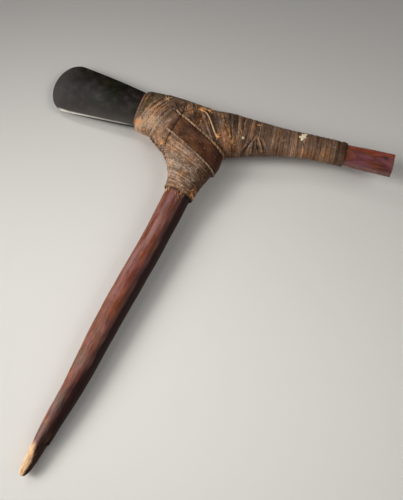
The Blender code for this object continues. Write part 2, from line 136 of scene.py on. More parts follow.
paper, tree, shader = new_finish("pale_paper")
fibre = clouds(tree, own_place(tree), 900, detail=2)
tree.links.new(mixed(tree, swung(tree, fibre), PAPER_COLOUR, FIBRE_COLOUR), shader.inputs["Base Color"])
shader.inputs["Roughness"].default_value = 0.9
shader.inputs["Specular IOR Level"].default_value = 0.2
deselect()
bpy.ops.mesh.primitive_plane_add(size=FLOOR_WIDTH, location=(0, 0, 0))
floor = bpy.context.object
floor.name = "paper_floor"
floor.data.materials.append(paper)
floor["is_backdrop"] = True

towards_camera = Vector(
    (
        math.sin(CAMERA_TURN) * math.cos(CAMERA_RISE),
        -math.cos(CAMERA_TURN) * math.cos(CAMERA_RISE),
        math.sin(CAMERA_RISE),
    )
)
camera = bpy.data.objects.new("camera", bpy.data.cameras.new("camera"))
scene.collection.objects.link(camera)
camera.data.lens = CAMERA_LENS
camera.location = AIM + towards_camera * CAMERA_DISTANCE
camera.rotation_mode = "QUATERNION"
camera.rotation_quaternion = (-towards_camera).to_track_quat("-Z", "Y")
scene.camera = camera
right = Vector((math.cos(CAMERA_TURN), math.sin(CAMERA_TURN), 0))
up = Vector((-math.sin(CAMERA_TURN), math.cos(CAMERA_TURN), 0))
middle = Vector((AIM.x, AIM.y, 0))
for name, place, aim, size, power, spread in LIGHTS:
    light = bpy.data.objects.new(name, bpy.data.lights.new(name, "AREA"))
    scene.collection.objects.link(light)
    light.data.shape = "SQUARE"
    light.data.size = size
    light.data.energy = power
    light.data.spread = math.radians(spread)
    light.data.color = DAYLIGHT_COLOUR
    light.location = middle + right * place[0] + up * place[1] + Vector((0, 0, place[2]))
    towards = middle + right * aim[0] + up * aim[1] - light.location
    light.rotation_mode = "QUATERNION"
    light.rotation_quaternion = towards.to_track_quat("-Z", "Y")
sky = bpy.data.worlds.new("studio_air")
scene.world = sky
sky.use_nodes = True
sky.node_tree.nodes["Background"].inputs["Color"].default_value = SKY_COLOUR
sky.node_tree.nodes["Background"].inputs["Strength"].default_value = SKY_STRENGTH

# The blade is one dark green-black stone, ground to a long lens with narrow flat sides and a curved edge.
# It was polished along its length by hand, so its faces wave a little. The butt sits in the socket.
BLADE_CORNER = math.radians(24)
BLADE_WAVE = 0.00012
EDGE_NICKS = (
    # x, y, reach, depth
    (-0.2262, 0.1905, 0.0016, 0.00045),
    (-0.2245, 0.2042, 0.0011, 0.0003),
    (-0.2215, 0.1750, 0.0013, 0.0004),
)
LOW_EDGE = (
    # x, y, z
    (-0.205, 0.1519, 0.0103),
    (-0.190, 0.1531, 0.0118),
    (-0.160, 0.1591, 0.0150),
    (-0.120, 0.1677, 0.0184),
    (-0.090, 0.1735, 0.0205),
)
LOW_EDGE_WIDTH = ((-0.195, 0.0014), (-0.140, 0.0009))
# How far up each face the painted reflection reaches, and where the stone turns paler towards the cutting
# edge.
LOW_EDGE_SHEEN = (0.030, 0.0)
CUTTING_EDGE_PALENESS = (-0.205, -0.225)
# How far a face must turn sideways to carry the painted shade of the flat sides.
FLAT_SIDE_TURN = (0.55, 0.80)
# How strong the painted highlight along the lower edge is at each x.
LOW_EDGE_GLINT = ((-0.209, 0.0), (-0.202, 1.0), (-0.178, 0.95), (-0.145, 0.55), (-0.095, 0.30))


def pick(piece):
    deselect()
    piece.select_set(True)
    bpy.context.view_layer.objects.active = piece


def taken_from(node, name):
    """A loose piece with the node's own shape, its triangles joined and paired."""
    piece = bpy.data.objects.new(name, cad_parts[node].data.copy())
    piece.data.materials.clear()
    scene.collection.objects.link(piece)
    pick(piece)
    bpy.ops.object.mode_set(mode="EDIT")
    bpy.ops.mesh.select_all(action="SELECT")
    bpy.ops.mesh.remove_doubles(threshold=0.00002)
    bpy.ops.mesh.tris_convert_to_quads(face_threshold=0.7, shape_threshold=0.7)
    bpy.ops.object.mode_set(mode="OBJECT")
    return piece


def worked(piece, kind, **settings):
    modifier = piece.modifiers.new(kind.lower(), kind)
    for name, value in settings.items():
        setattr(modifier, name, value)
    pick(piece)
    bpy.ops.object.modifier_apply(modifier=modifier.name)


def subdivided(piece, corner, levels):
    """Finer faces, with the edges sharper than the corner's angle kept crisp."""
    solid = bmesh.new()
    solid.from_mesh(piece.data)
    crease = solid.edges.layers.float.new("crease_edge")
    for edge in solid.edges:
        if len(edge.link_faces) == 2 and edge.calc_face_angle() > corner:
            edge[crease] = 0.8
    solid.to_mesh(piece.data)
    solid.free()
    worked(piece, "SUBSURF", levels=levels, render_levels=levels)


def points_of(piece, field="co"):
    values = np.empty(len(piece.data.vertices) * 3)
    piece.data.vertices.foreach_get(field, values)
    return values.reshape(-1, 3)


def normals_of(piece):
    return points_of(piece, "normal")


def set_points(piece, places):
    piece.data.vertices.foreach_set("co", places.ravel())
    piece.data.update()


def shaded(piece, angle):
    """Smooth shading, apart from edges sharper than the angle in degrees."""
    pick(piece)
    bpy.ops.object.shade_smooth_by_angle(angle=math.radians(angle))


def painted(piece, name, values):
    """The values, one or three for each point, kept on the piece for its material to read."""
    kind, field = ("FLOAT_VECTOR", "vector") if values.ndim == 2 else ("FLOAT", "value")
    piece.data.attributes.new(name, kind, "POINT").data.foreach_set(field, values.ravel())


def ripple(places, stretch, shift=0.0):
    """Smooth noise from -1 to 1 at each place, with stretch cells to the metre, or as many along each way."""
    return np.array([noise.noise(Vector((x, y, z + shift))) for x, y, z in places * np.array(stretch)])


def hill(gap, reach):
    """1 where the gap is nothing, falling softly to 0 past the reach."""
    return np.exp(-((gap / reach) ** 2))


def grade(values, low, high):
    """0 up to low, 1 from high on, and even between them."""
    return np.clip((values - low) / (high - low), 0, 1)


def read_off(line, at):
    """The line's second numbers at values of its first."""
    return np.interp(at, *zip(*line))


def steps(tree, value, stops):
    """A colour for each value from 0 to 1, blended between the stops."""
    made = part(tree, "ValToRGB", {"Fac": value})
    ramp = made.color_ramp
    while len(ramp.elements) < len(stops):
        ramp.elements.new(0.5)
    for element, (place, colour) in zip(ramp.elements, stops):
        element.position = place
        element.color = (*colour, 1)
    return made.outputs["Color"]


def sum_of(tree, first, second):
    return part(tree, "Math", {0: first, 1: second}, operation="ADD").outputs[0]


def times(tree, value, factor):
    return part(tree, "Math", {0: value, 1: factor}, operation="MULTIPLY").outputs[0]


def tinted(tree, amount, colour, tint):
    """The colour, multiplied by the tint as far as the amount says."""
    return mixed(tree, amount, colour, tint, "MULTIPLY")


def carried(tree, name, output="Fac"):
    """What the piece keeps on its points under the name."""
    return part(tree, "Attribute", attribute_name=name).outputs[output]


def surfaced(tree, shader, colour, roughness, *relief, specular=0.5):
    """The shader's colour and gloss, and relief in layers from below, each a height and its depth."""
    tree.links.new(colour, shader.inputs["Base Color"])
    tree.links.new(roughness, shader.inputs["Roughness"])
    shader.inputs["Specular IOR Level"].default_value = specular
    under = {}
    for height, depth in relief:
        made = part(tree, "Bump", {"Height": height, "Distance": depth, "Strength": 1.0, **under})
        under = {"Normal": made.outputs[0]}
    tree.links.new(under["Normal"], shader.inputs["Normal"])


blade = taken_from("stone_blade", "ground_stone_blade")
subdivided(blade, BLADE_CORNER, 3)
places = points_of(blade)
places += normals_of(blade) * (BLADE_WAVE * ripple(places, (38, 70, 70)))[:, None]
x, y, z = places.T
for at_x, at_y, reach, depth in EDGE_NICKS:
    x += depth * hill(np.hypot(x - at_x, y - at_y), reach)
set_points(blade, places)
shaded(blade, 50)
# Painted highlight: a pale line along the lower flat side's edge stands in for the polished stone reflecting
# the pale floor.
edge_x, edge_y, edge_z = zip(*LOW_EDGE)
inward = y - np.interp(x, edge_x, edge_y)
gap = np.hypot(inward, z - np.interp(x, edge_x, edge_z))
worn = np.clip(1.7 * hill(gap, read_off(LOW_EDGE_WIDTH, x)), 0, 1) * read_off(LOW_EDGE_GLINT, x)
painted(blade, "painted_glint_edge", worn)
# Painted reflection: each face is paler towards its lower edge, and the stone is also paler towards the
# cutting edge.
painted_low_sheen_and_pale_cutting_edge = grade(inward, *LOW_EDGE_SHEEN) ** 1.3 + 0.8 * grade(x, *CUTTING_EDGE_PALENESS)
painted(blade, "painted_low_sheen_and_pale_cutting_edge", np.clip(painted_low_sheen_and_pale_cutting_edge, 0, 1))
# Painted shade: the narrow flat sides are darkened to near black.
painted(blade, "painted_flat_side_shade", grade(abs(normals_of(blade)[:, 1]), *FLAT_SIDE_TURN))

stone, tree, shader = new_finish("polished_dark_stone")
place = own_place(tree)
mottle = clouds(tree, place, (85, 110, 110), detail=6, roughness=0.62)
drift = clouds(tree, place, (30, 46, 46), detail=3)
speck = clouds(tree, place, 1300, detail=2)
scratch = clouds(tree, place, (70, 2600, 900), detail=3, roughness=0.7)
colour = steps(
    tree,
    mottle,
    ((0.38, (0.0045, 0.0044, 0.0022)), (0.5, (0.0095, 0.0086, 0.0052)), (0.62, (0.028, 0.0245, 0.0165))),
)
colour = tinted(tree, ranged(tree, drift, 0.46, 0.60), colour, (1.40, 1.05, 1.45))
colour = tinted(tree, ranged(tree, drift, 0.52, 0.38), colour, (1.05, 1.10, 0.55))
colour = mixed(tree, ranged(tree, speck, 0.60, 0.74, 0.0, 0.35), colour, (0.10, 0.095, 0.070))
# The grey mixed in here is the painted reflection low on the faces and the paler cutting edge.
colour = mixed(tree, times(tree, carried(tree, "painted_low_sheen_and_pale_cutting_edge"), 0.80), colour, (0.080, 0.066, 0.060))
# Painted shade on the narrow flat sides.
colour = mixed(tree, times(tree, carried(tree, "painted_flat_side_shade"), 0.75), colour, (0.004, 0.0035, 0.003))
# Painted highlight: the pale glint colour laid along the lower edge.
glint_colour = steps(tree, mottle, ((0.3, (0.70, 0.64, 0.54)), (0.6, (0.98, 0.93, 0.84))))
colour = mixed(tree, carried(tree, "painted_glint_edge"), colour, glint_colour)
gloss = sum_of(tree, swung(tree, drift, 0.30, 0.40), ranged(tree, scratch, 0.35, 0.7, 0.0, 0.12))
surfaced(tree, shader, colour, gloss, (scratch, 0.00003), (mottle, 0.00012), specular=0.25)
blade.data.materials.append(stone)
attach(blade, "root")
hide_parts("stone_blade")

# The haft is one forked branch: the grip, the fork and the counterweight arm, of hard red-brown wood.
# It was shaved lengthwise with a stone tool and is polished by handling; the grip carries painted shade and a
# painted sheen. The butt is worn to raw wood.
GRAIN_VOXEL = 0.00112
GRIP_LINE = (
    # y, x
    (-0.280, -0.0050),
    (-0.240, -0.0040),
    (-0.180, -0.0024),
    (-0.120, -0.0025),
    (-0.060, -0.0031),
    (0.000, -0.0022),
    (0.060, -0.0016),
    (0.110, -0.0030),
)
ARM_LINE = (
    # x, y
    (0.000, 0.206),
    (0.060, 0.2255),
    (0.100, 0.2373),
    (0.140, 0.2472),
    (0.180, 0.2547),
    (0.230, 0.2636),
)
ARM_CORNER = (0.045, 0.190)
ARM_TOP = 0.030
SHAVE_DEPTH = 0.00028
GRAIN_DEPTH = 0.00010
LUMP_DEPTH = 0.0003
RESTING_HEIGHT = 0.0012
NICK_STRETCH = 0.45
NICKS = (
    # x, y, z, reach, depth
    (-0.0135, -0.1597, 0.0200, 0.0032, 0.0011),
    (-0.0125, -0.2060, 0.0150, 0.0028, 0.0012),
    (0.0040, -0.0200, 0.0325, 0.0022, 0.0004),
    (0.0100, -0.1150, 0.0220, 0.0030, 0.0006),
    (0.0020, -0.2330, 0.0180, 0.0042, 0.0013),
    (0.0010, -0.2420, 0.0160, 0.0040, 0.0016),
    (-0.0010, -0.2510, 0.0150, 0.0036, 0.0012),
    (0.2262, 0.2700, 0.0460, 0.0025, 0.0008),
    (0.2200, 0.2500, 0.0450, 0.0020, 0.0007),
    (-0.0040, -0.2770, 0.0080, 0.0050, 0.0016),
)
# The first two patches are rubbed wear; the last two, on the grip's side towards the window near the butt,
# are partly a painted highlight.
RUBBED_AND_HIGHLIGHT_PATCHES = (
    # amount, x and its reach, y and its reach
    (0.55, -0.003, 0.012, -0.092, 0.018),
    (0.60, -0.006, 0.012, -0.128, 0.017),
    (0.9, -0.010, 0.012, -0.184, 0.012),
    (0.8, -0.014, 0.012, -0.222, 0.012),
)
# Painted shade and sheen: the wood facing away from the window is darkened, and the line below gives at each
# y which way the painted sheen faces, from -1 towards the window to 1 away from it.
AWAY_FROM_WINDOW = (0.891, 0.453)
ARM_SHADE_SIDE = -0.35
SHEEN_WIDTH = 0.14
SHEEN_LINE = ((-0.058, -0.40), (0.016, -0.42), (0.051, -0.15), (0.082, 0.0))
SHEEN_STRENGTH = ((-0.090, 0.0), (-0.040, 1.0), (0.055, 1.0), (0.085, 0.35))
# How far the painted shade reaches round the grip near the butt, at each y.
SHADE_SHIFT_NEAR_BUTT = ((-0.250, 0.15), (-0.235, 0.42), (-0.165, 0.42), (-0.130, 0.0))
BUTT_EDGE = -0.244
BUTT_SLANT = 0.9
BUTT_FADE = 0.010
SCAR = (0.0035, 0.0045, -0.236, 0.012)
GREEN_SPOT = (0.2139, 0.0035, 0.2648, 0.0020)
RIDGE_EDGE = 0.0052
RIDGE_FADE = 0.0022
BARE_ARM_FROM = 0.10


def patch(x, y, at_x, reach_x, at_y, reach_y):
    return hill(x - at_x, reach_x) * hill(y - at_y, reach_y)


def remeshed(piece, voxel, passes=3):
    """Fine even faces all over in place of the node's own, softened a little."""
    worked(piece, "REMESH", mode="VOXEL", voxel_size=voxel, adaptivity=0.0)
    worked(piece, "SMOOTH", factor=0.5, iterations=passes)


def swell(piece, places, change, lowest=0.0, angle=60):
    """The piece's points moved outwards by the change, but none below the lowest, and shaded smooth."""
    places += normals_of(piece) * change[:, None]
    places[:, 2] = np.maximum(places[:, 2], lowest)
    set_points(piece, places)
    shaded(piece, angle)


haft = taken_from("haft", "forked_wooden_haft")
remeshed(haft, GRAIN_VOXEL)
places = points_of(haft)
x, y, z = places.T
on_arm = (x > ARM_CORNER[0]) & (y > ARM_CORNER[1])
along_arm = np.c_[x * 1.04, y - read_off(ARM_LINE, x), z]
along_grip = np.c_[y, x - read_off(GRIP_LINE, y), z]
grain = np.where(on_arm[:, None], along_arm, along_grip)
change = SHAVE_DEPTH * ripple(grain, (30, 120, 120), 3.0)
change += GRAIN_DEPTH * ripple(grain, (55, 900, 900), 9.0)
change += LUMP_DEPTH * ripple(grain, 22, 5.0)
tear = 0.8 + 0.5 * ripple(grain, (200, 1500, 1500), 2.0)
for at_x, at_y, at_z, reach, depth in NICKS:
    gap = np.sqrt((x - at_x) ** 2 + ((y - at_y) * NICK_STRETCH) ** 2 + (z - at_z) ** 2)
    change -= depth * hill(gap, reach) * tear
swell(haft, places, np.where(z < RESTING_HEIGHT, np.minimum(change, 0.0), change))
painted(haft, "grain", grain)

# Painted shade and sheen: the grip is nearly black on the side away from the window, and a painted sheen runs
# along its top.
shaded_side = normals_of(haft)[:, :2] @ AWAY_FROM_WINDOW
shaded_side = np.where(on_arm, ARM_SHADE_SIDE, shaded_side) + 0.14 * ripple(grain, (60, 240, 240), 6.0)
painted_sheen = hill(shaded_side - read_off(SHEEN_LINE, y), SHEEN_WIDTH) * read_off(SHEEN_STRENGTH, y)
painted(haft, "painted_grip_sheen", painted_sheen * ~on_arm)
# The painted shade reaches further round the grip towards the butt.
shaded_side += read_off(SHADE_SHIFT_NEAR_BUTT, y) * (z > 0.006)
painted(haft, "painted_shade_side", shaded_side)
# The raw wood at the butt stops short of the side carrying painted shade.
butt = np.clip((BUTT_EDGE - y - BUTT_SLANT * (x + 0.001)) / BUTT_FADE, -1, 1)
butt = np.clip(butt + 0.55 * ripple(grain, (60, 260, 260), 4.0), 0, 1) * grade(shaded_side, 0.45, 0.10)
scar = np.clip(1.6 * patch(x, y, *SCAR) * grade(z, 0.008, 0.014), 0, 1)
painted(haft, "raw_wood", butt * (1 - scar))
painted(haft, "scar", scar)
rubbed_and_highlight = np.zeros(len(places))
for amount, *at in RUBBED_AND_HIGHLIGHT_PATCHES:
    rubbed_and_highlight += amount * patch(x, y, *at)
painted(haft, "rubbed_and_highlight", np.clip(rubbed_and_highlight * (0.7 + 0.8 * ripple(grain, (50, 300, 300), 7.0)), 0, 1))
# Painted highlight: the upper edge of the arm's top is painted brighter and more orange.
on_top = on_arm & (z > ARM_TOP)
ridge_highlight = np.clip((grain[:, 1] - RIDGE_EDGE) / RIDGE_FADE + 0.8 * ripple(grain, (70, 200, 200), 11.0), 0, 1)
painted(haft, "painted_ridge_highlight", 0.8 * ridge_highlight * on_top)
painted(haft, "green_spot", patch(x, y, *GREEN_SPOT) * on_top)


def red_wood(name, dark, middle, light):
    made, tree, shader = new_finish(name)
    along = carried(tree, "grain", "Vector")
    broad = clouds(tree, along, (42, 120, 120), detail=5, distortion=0.5)
    lines = clouds(tree, along, (45, 430, 430), roughness=0.65)
    pores = clouds(tree, along, (150, 1900, 1900), detail=2)
    hue = clouds(tree, along, (44, 110, 110), detail=3, roughness=0.5)
    shaded_side = carried(tree, "painted_shade_side")
    raw = carried(tree, "raw_wood")
    scar = carried(tree, "scar")
    value = sum_of(tree, ranged(tree, broad, 0.25, 0.75, 0.10, 0.60), swung(tree, lines, 0.0, 0.30))
    colour = steps(tree, value, ((0.15, dark), (0.5, middle), (0.88, light)))
    colour = tinted(tree, ranged(tree, hue, 0.46, 0.60), colour, (0.90, 0.90, 1.45))
    colour = tinted(tree, ranged(tree, hue, 0.46, 0.34), colour, (1.10, 1.04, 0.80))
    colour = mixed(tree, ranged(tree, pores, 0.58, 0.70, 0.0, 0.45), colour, tuple(c * 0.5 for c in dark))
    # Painted highlight along the arm's upper edge.
    colour = tinted(tree, carried(tree, "painted_ridge_highlight"), colour, (1.8, 1.10, 0.62))
    colour = mixed(tree, carried(tree, "green_spot"), colour, (0.020, 0.030, 0.009))
    worn = steps(tree, lines, ((0.35, (0.100, 0.070, 0.055)), (0.7, (0.26, 0.185, 0.135))))
    # Rubbed wear, and near the butt a painted highlight on the grip's side towards the window.
    colour = mixed(tree, carried(tree, "rubbed_and_highlight"), colour, worn)
    # Painted light: the side of the grip towards the window is painted more orange.
    colour = tinted(tree, ranged(tree, shaded_side, -0.30, -0.75), colour, (0.98, 0.98, 0.80))
    # Painted sheen: a pale pink line along the grip's top.
    colour = mixed(tree, times(tree, carried(tree, "painted_grip_sheen"), 0.75), colour, (0.30, 0.155, 0.140))
    # Painted shade: the side of the grip away from the window is painted near black.
    colour = tinted(tree, ranged(tree, shaded_side, -0.02, 0.55), colour, (0.10, 0.05, 0.04))
    bare = steps(
        tree,
        sum_of(tree, swung(tree, lines, 0.0, 0.7), swung(tree, broad, 0.0, 0.3)),
        ((0.15, (0.34, 0.15, 0.060)), (0.5, (0.80, 0.48, 0.24)), (0.85, (1.0, 0.80, 0.54))),
    )
    colour = mixed(tree, raw, colour, bare)
    torn = steps(tree, lines, ((0.4, (0.010, 0.005, 0.003)), (0.62, (0.085, 0.046, 0.026))))
    colour = mixed(tree, scar, colour, torn)
    gloss = sum_of(tree, swung(tree, broad, 0.20, 0.34), times(tree, raw, 0.35))
    gloss = sum_of(tree, gloss, times(tree, scar, 0.4))
    gloss = sum_of(tree, gloss, ranged(tree, shaded_side, 0.0, 0.7, 0.0, 0.35))
    surfaced(tree, shader, colour, gloss, (pores, 0.00008), (lines, 0.00016), (broad, 0.0006), specular=0.32)
    shader.inputs["IOR"].default_value = 1.42
    haft.data.materials.append(made)


red_wood("handled_red_wood", (0.085, 0.023, 0.013), (0.215, 0.062, 0.032), (0.42, 0.140, 0.066))
red_wood("bare_arm_wood", (0.098, 0.026, 0.017), (0.205, 0.065, 0.047), (0.35, 0.120, 0.088))
for face in haft.data.polygons:
    if face.center.x > BARE_ARM_FROM:
        face.material_index = 1
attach(haft, "root")
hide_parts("haft")

# Two wooden cheeks clamp the stone. They are of paler wood than the haft, split and shaved thin.
# Only their front edges stand out of the binding, round the mouth of the socket.
CHEEK_CORNER = math.radians(50)
SPLIT_DEPTH = 0.0002

cheek_wood, tree, shader = new_finish("pale_cheek_wood")
lines = clouds(tree, own_place(tree), (60, 700, 700))
colour = steps(
    tree, lines, ((0.3, (0.085, 0.032, 0.022)), (0.52, (0.27, 0.125, 0.085)), (0.75, (0.42, 0.225, 0.155)))
)
surfaced(tree, shader, colour, swung(tree, lines, 0.5, 0.75), (lines, 0.0002))
for side in ("front", "back"):
    cheek = taken_from("socket_cheek_" + side, "cheek_" + side)
    subdivided(cheek, CHEEK_CORNER, 2)
    places = points_of(cheek)
    swell(cheek, places, SPLIT_DEPTH * ripple(places, (90, 500, 500)), angle=40)
    cheek.data.materials.append(cheek_wood)
    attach(cheek, "root")
    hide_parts("socket_cheek_" + side)

# Under the visible turns lies a packed first layer of old cane, coloured darker than the turns.
# It covers socket, fork and arm, and shows only in the gaps between turns.
BED_VOXEL = 0.00125
BED_SINK = 0.0004
BED_LUMP = 0.00015
BED_LOWEST = 0.0010

bed = taken_from("junction_binding", "packed_cane_bed")
arm_bed = taken_from("arm_binding", "arm_cane_bed")
pick(bed)
arm_bed.select_set(True)
bpy.ops.object.join()
remeshed(bed, BED_VOXEL, 4)
places = points_of(bed)
swell(bed, places, -BED_SINK - BED_LUMP * ripple(places, 160), BED_LOWEST)
packed_finish, tree, shader = new_finish("darker_packed_cane")
bed_mottle = clouds(tree, own_place(tree), 240, detail=5, roughness=0.7)
colour = steps(
    tree, bed_mottle, ((0.3, (0.032, 0.017, 0.010)), (0.55, (0.085, 0.049, 0.029)), (0.8, (0.17, 0.105, 0.063)))
)
surfaced(tree, shader, colour, swung(tree, bed_mottle, 0.65, 0.9), (bed_mottle, 0.0005))
bed.data.materials.append(packed_finish)
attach(bed, "root")
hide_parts("junction_binding", "arm_binding")

# The binding is long strips of split cane about 2.4 mm wide, wound wet and drawn tight in open fans.
# They go round the neck, the socket and the arm and cross over the fork, and have dried brown and dusty.
FORK = Vector((-0.00528, 0.16669, 0.02185))
PLANE_RISE = (0.0579, 0.0290)
STRIP_STEP = 0.002
FLOOR_GAP = 0.0001
# Across and up, in widths and thicknesses of the strip.
STRIP_PROFILE = ((-0.50, -0.45), (-0.44, 0.18), (-0.17, 0.48), (0.17, 0.48), (0.44, 0.18), (0.50, -0.45))
TURN_POINTS = 80
TURN_SLACK = 0.30
STAND_OFF = 0.009
SIDE_REACH = 0.036
SHORTEST_RUN = 12
WIDTH_SPREAD = (0.84, 1.14)
LIFT_SPREAD = (-0.18, 0.22)
SETTLE = 0.00035
STREAK = 0.13
CORE_GAP = 0.004
RAY_LENGTH = 0.5
RAY_SKIP = 0.0001
RAY_TRIES = 8
FACING = -0.05
STAINS = (
    # x, y, reach, how much lighter, how much warmer
    (-90, 44, 9, -0.06, 0.10),
    (-72, 66, 12, -0.22, -0.30),
    (-69, 52, 5, 0.10, 0.10),
    (-72, 33, 8, 0.10, 0.45),
    (-79, 26, 6, 0.16, 0.30),
    (-89, 6, 7, 0.50, 0.05),
    (-78, 12, 10, 0.26, 0.0),
    (-66, 16, 11, 0.20, -0.08),
    (-57, 30, 13, -0.06, -0.05),
    (-57, 38, 8, -0.08, -0.25),
    (-50, -2, 9, 0.14, -0.10),
    (-50, 50, 12, -0.10, -0.10),
    (-36, 50, 12, 0.06, 0.15),
    (-22, 44, 9, -0.16, 0.30),
    (-24, 60, 8, -0.06, 0.30),
    (2, 56, 12, -0.12, -0.45),
    (9, 42, 9, -0.08, -0.25),
    (22, 58, 14, -0.14, -0.35),
    (28, 36, 9, 0.0, 0.20),
    (38, 27, 8, 0.0, 0.25),
    (44, 22, 7, -0.04, 0.30),
    # painted shade in the armpit corner
    (30, 15, 9, -0.30, 0.15),
    (46, 50, 14, -0.04, 0.10),
    (-20, -16, 18, 0.10, -0.20),
    (-30, -4, 9, 0.08, 0.20),
    (-22, -30, 14, 0.12, -0.20),
    (6, -22, 12, 0.04, -0.20),
    (12, -36, 10, -0.02, -0.20),
    (26, -16, 11, -0.34, 0.25),
    (26, -38, 9, -0.22, 0.35),
    (-4, -48, 12, 0.14, -0.10),
    (18, -52, 5, -0.05, 0.50),
    (62, 40, 13, 0.02, -0.10),
    (70, 60, 14, 0.0, -0.15),
    (92, 60, 18, 0.02, -0.15),
    (114, 56, 9, 0.10, 0.20),
    (128, 62, 6, 0.06, 0.45),
    (143, 66, 9, 0.18, 0.40),
    (128, 84, 14, 0.02, -0.10),
    (160, 84, 8, -0.08, -0.10),
)


def on_plane(x, y, height=0.0):
    """A place x, y in millimetres from the fork, on the axe's own middle plane."""
    x, y = x / 1000, y / 1000
    return Vector((FORK.x + x, FORK.y + y, FORK.z + PLANE_RISE[0] * x + PLANE_RISE[1] * y + height))


def skin_of(*pieces):
    corners, faces = [], []
    for piece in pieces:
        start = len(corners)
        corners += [v.co.copy() for v in piece.data.vertices]
        faces += [[start + i for i in face.vertices] for face in piece.data.polygons]
    return BVHTree.FromPolygons(corners, faces)


def outer_skin(jacket, core):
    """The jacket's faces that don't look straight onto the core inside it."""
    within = skin_of(*core)
    corners = [v.co.copy() for v in jacket.data.vertices]
    faces = []
    for face in jacket.data.polygons:
        if within.ray_cast(face.center, face.normal, CORE_GAP)[0] is None:
            faces.append(list(face.vertices))
    return BVHTree.FromPolygons(corners, faces)


def touch(skin, start, heading):
    """Where a line first meets the skin from outside."""
    for _ in range(RAY_TRIES):
        point, way, _, _ = skin.ray_cast(start, heading, RAY_LENGTH)
        if point is None:
            return None, None
        if way.dot(heading) < FACING:
            return point, way
        start = point + heading * RAY_SKIP
    return None, None


def relaxed(row, passes):
    row = np.array(row)
    for _ in range(passes):
        row[1:-1] = row[1:-1] * 0.5 + (row[:-2] + row[2:]) * 0.25
    return row


def lengths_of(path):
    """How far along the path each of its points lies."""
    return np.r_[0, np.cumsum(np.linalg.norm(np.diff(path, axis=0), axis=1))]


def evenly(points, others, step):
    """The path and what goes with it, at even steps along its length."""
    along = lengths_of(points)
    at = np.linspace(0, along[-1], max(3, int(along[-1] / step) + 1))
    return [np.array([np.interp(at, along, column) for column in row.T]).T for row in (points, *others)]


def strand(points, ways, width, thick, lift, tone, warmth, seed):
    """One strip ready to be made: its path, its outward ways and what it looks like along its length."""
    ways = ways / np.linalg.norm(ways, axis=1)[:, None]
    path = points + ways * np.broadcast_to(lift, len(points))[:, None]
    return dict(path=path, ways=ways, width=width, thick=thick, tone=tone, warmth=warmth, seed=seed)


def wind(skin, first, last, turns, seed, width, lift, thick=0.9, tone=0.5, bow=0.0, narrow=0.0, uneven=0.085):
    """Turns of strip from one pair of outline points across the limb to another, in millimetres."""
    chance = random.Random(seed)
    first = [on_plane(*place) for place in first]
    last = [on_plane(*place) for place in last]
    run = []
    runs = [run]
    for i in range(turns * TURN_POINTS + 1):
        turn = i / TURN_POINTS
        share = turn / turns
        slack = TURN_SLACK / turns
        upper = share + slack * noise.noise(Vector((turn * 1.3, seed * 3.7, 0.0)))
        lower = share + slack * noise.noise(Vector((turn * 1.3, seed * 3.7, 9.0)))
        top = first[0].lerp(last[0], upper)
        bottom = first[1].lerp(last[1], lower)
        across = top - bottom
        reach = across.length / 2 + STAND_OFF
        across.normalize()
        limb = Vector((across.y, -across.x, 0))
        angle = (turn + 0.25) * 2 * math.pi
        middle = (top + bottom) / 2 + limb * (bow / 1000 * max(0.0, math.sin(angle)) ** 2)
        out = across * (reach * math.cos(angle)) + Vector((0, 0, SIDE_REACH * math.sin(angle)))
        point, way = touch(skin, middle + out, -out.normalized())
        if point is not None:
            run.append((point, way, (turn, 1 - narrow * (1 - math.cos(angle)) / 2)))
        elif run:
            run = []
            runs.append(run)
    made = []
    for run in runs:
        if len(run) < SHORTEST_RUN:
            continue
        points = relaxed([p for p, _, _ in run], 3)
        ways = relaxed([w for _, w, _ in run], 4)
        points, ways, rest = evenly(points, (ways, np.array([t for _, _, t in run])), STRIP_STEP)
        turn, fuller = rest.T
        whole = np.arange(turns + 3)
        shades = [chance.gauss(0, uneven) for _ in whole]
        widths = [chance.uniform(*WIDTH_SPREAD) for _ in whole]
        lifts = [chance.uniform(*LIFT_SPREAD) for _ in whole]
        made.append(
            strand(
                points,
                ways,
                np.interp(turn, whole, widths) * fuller * width / 1000,
                thick / 1000,
                (lift + np.interp(turn, whole, lifts)) / 1000,
                tone + np.interp(turn, whole, shades),
                np.interp(turn, whole, shades[::-1]) * 0.8,
                seed + turn,
            )
        )
    return made


def stained(places):
    """How much lighter and warmer the cane is at each place, mostly from hand wear, resin and dust; the dark
    patch in the armpit is painted shade.
    """
    x = (places[:, 0] - FORK.x) * 1000
    y = (places[:, 1] - FORK.y) * 1000
    light = np.zeros(len(places))
    warm = np.zeros(len(places))
    for at_x, at_y, reach, lighter, warmer in STAINS:
        near = hill(np.hypot(x - at_x, y - at_y), reach)
        light += lighter * near
        warm += warmer * near
    return light, warm


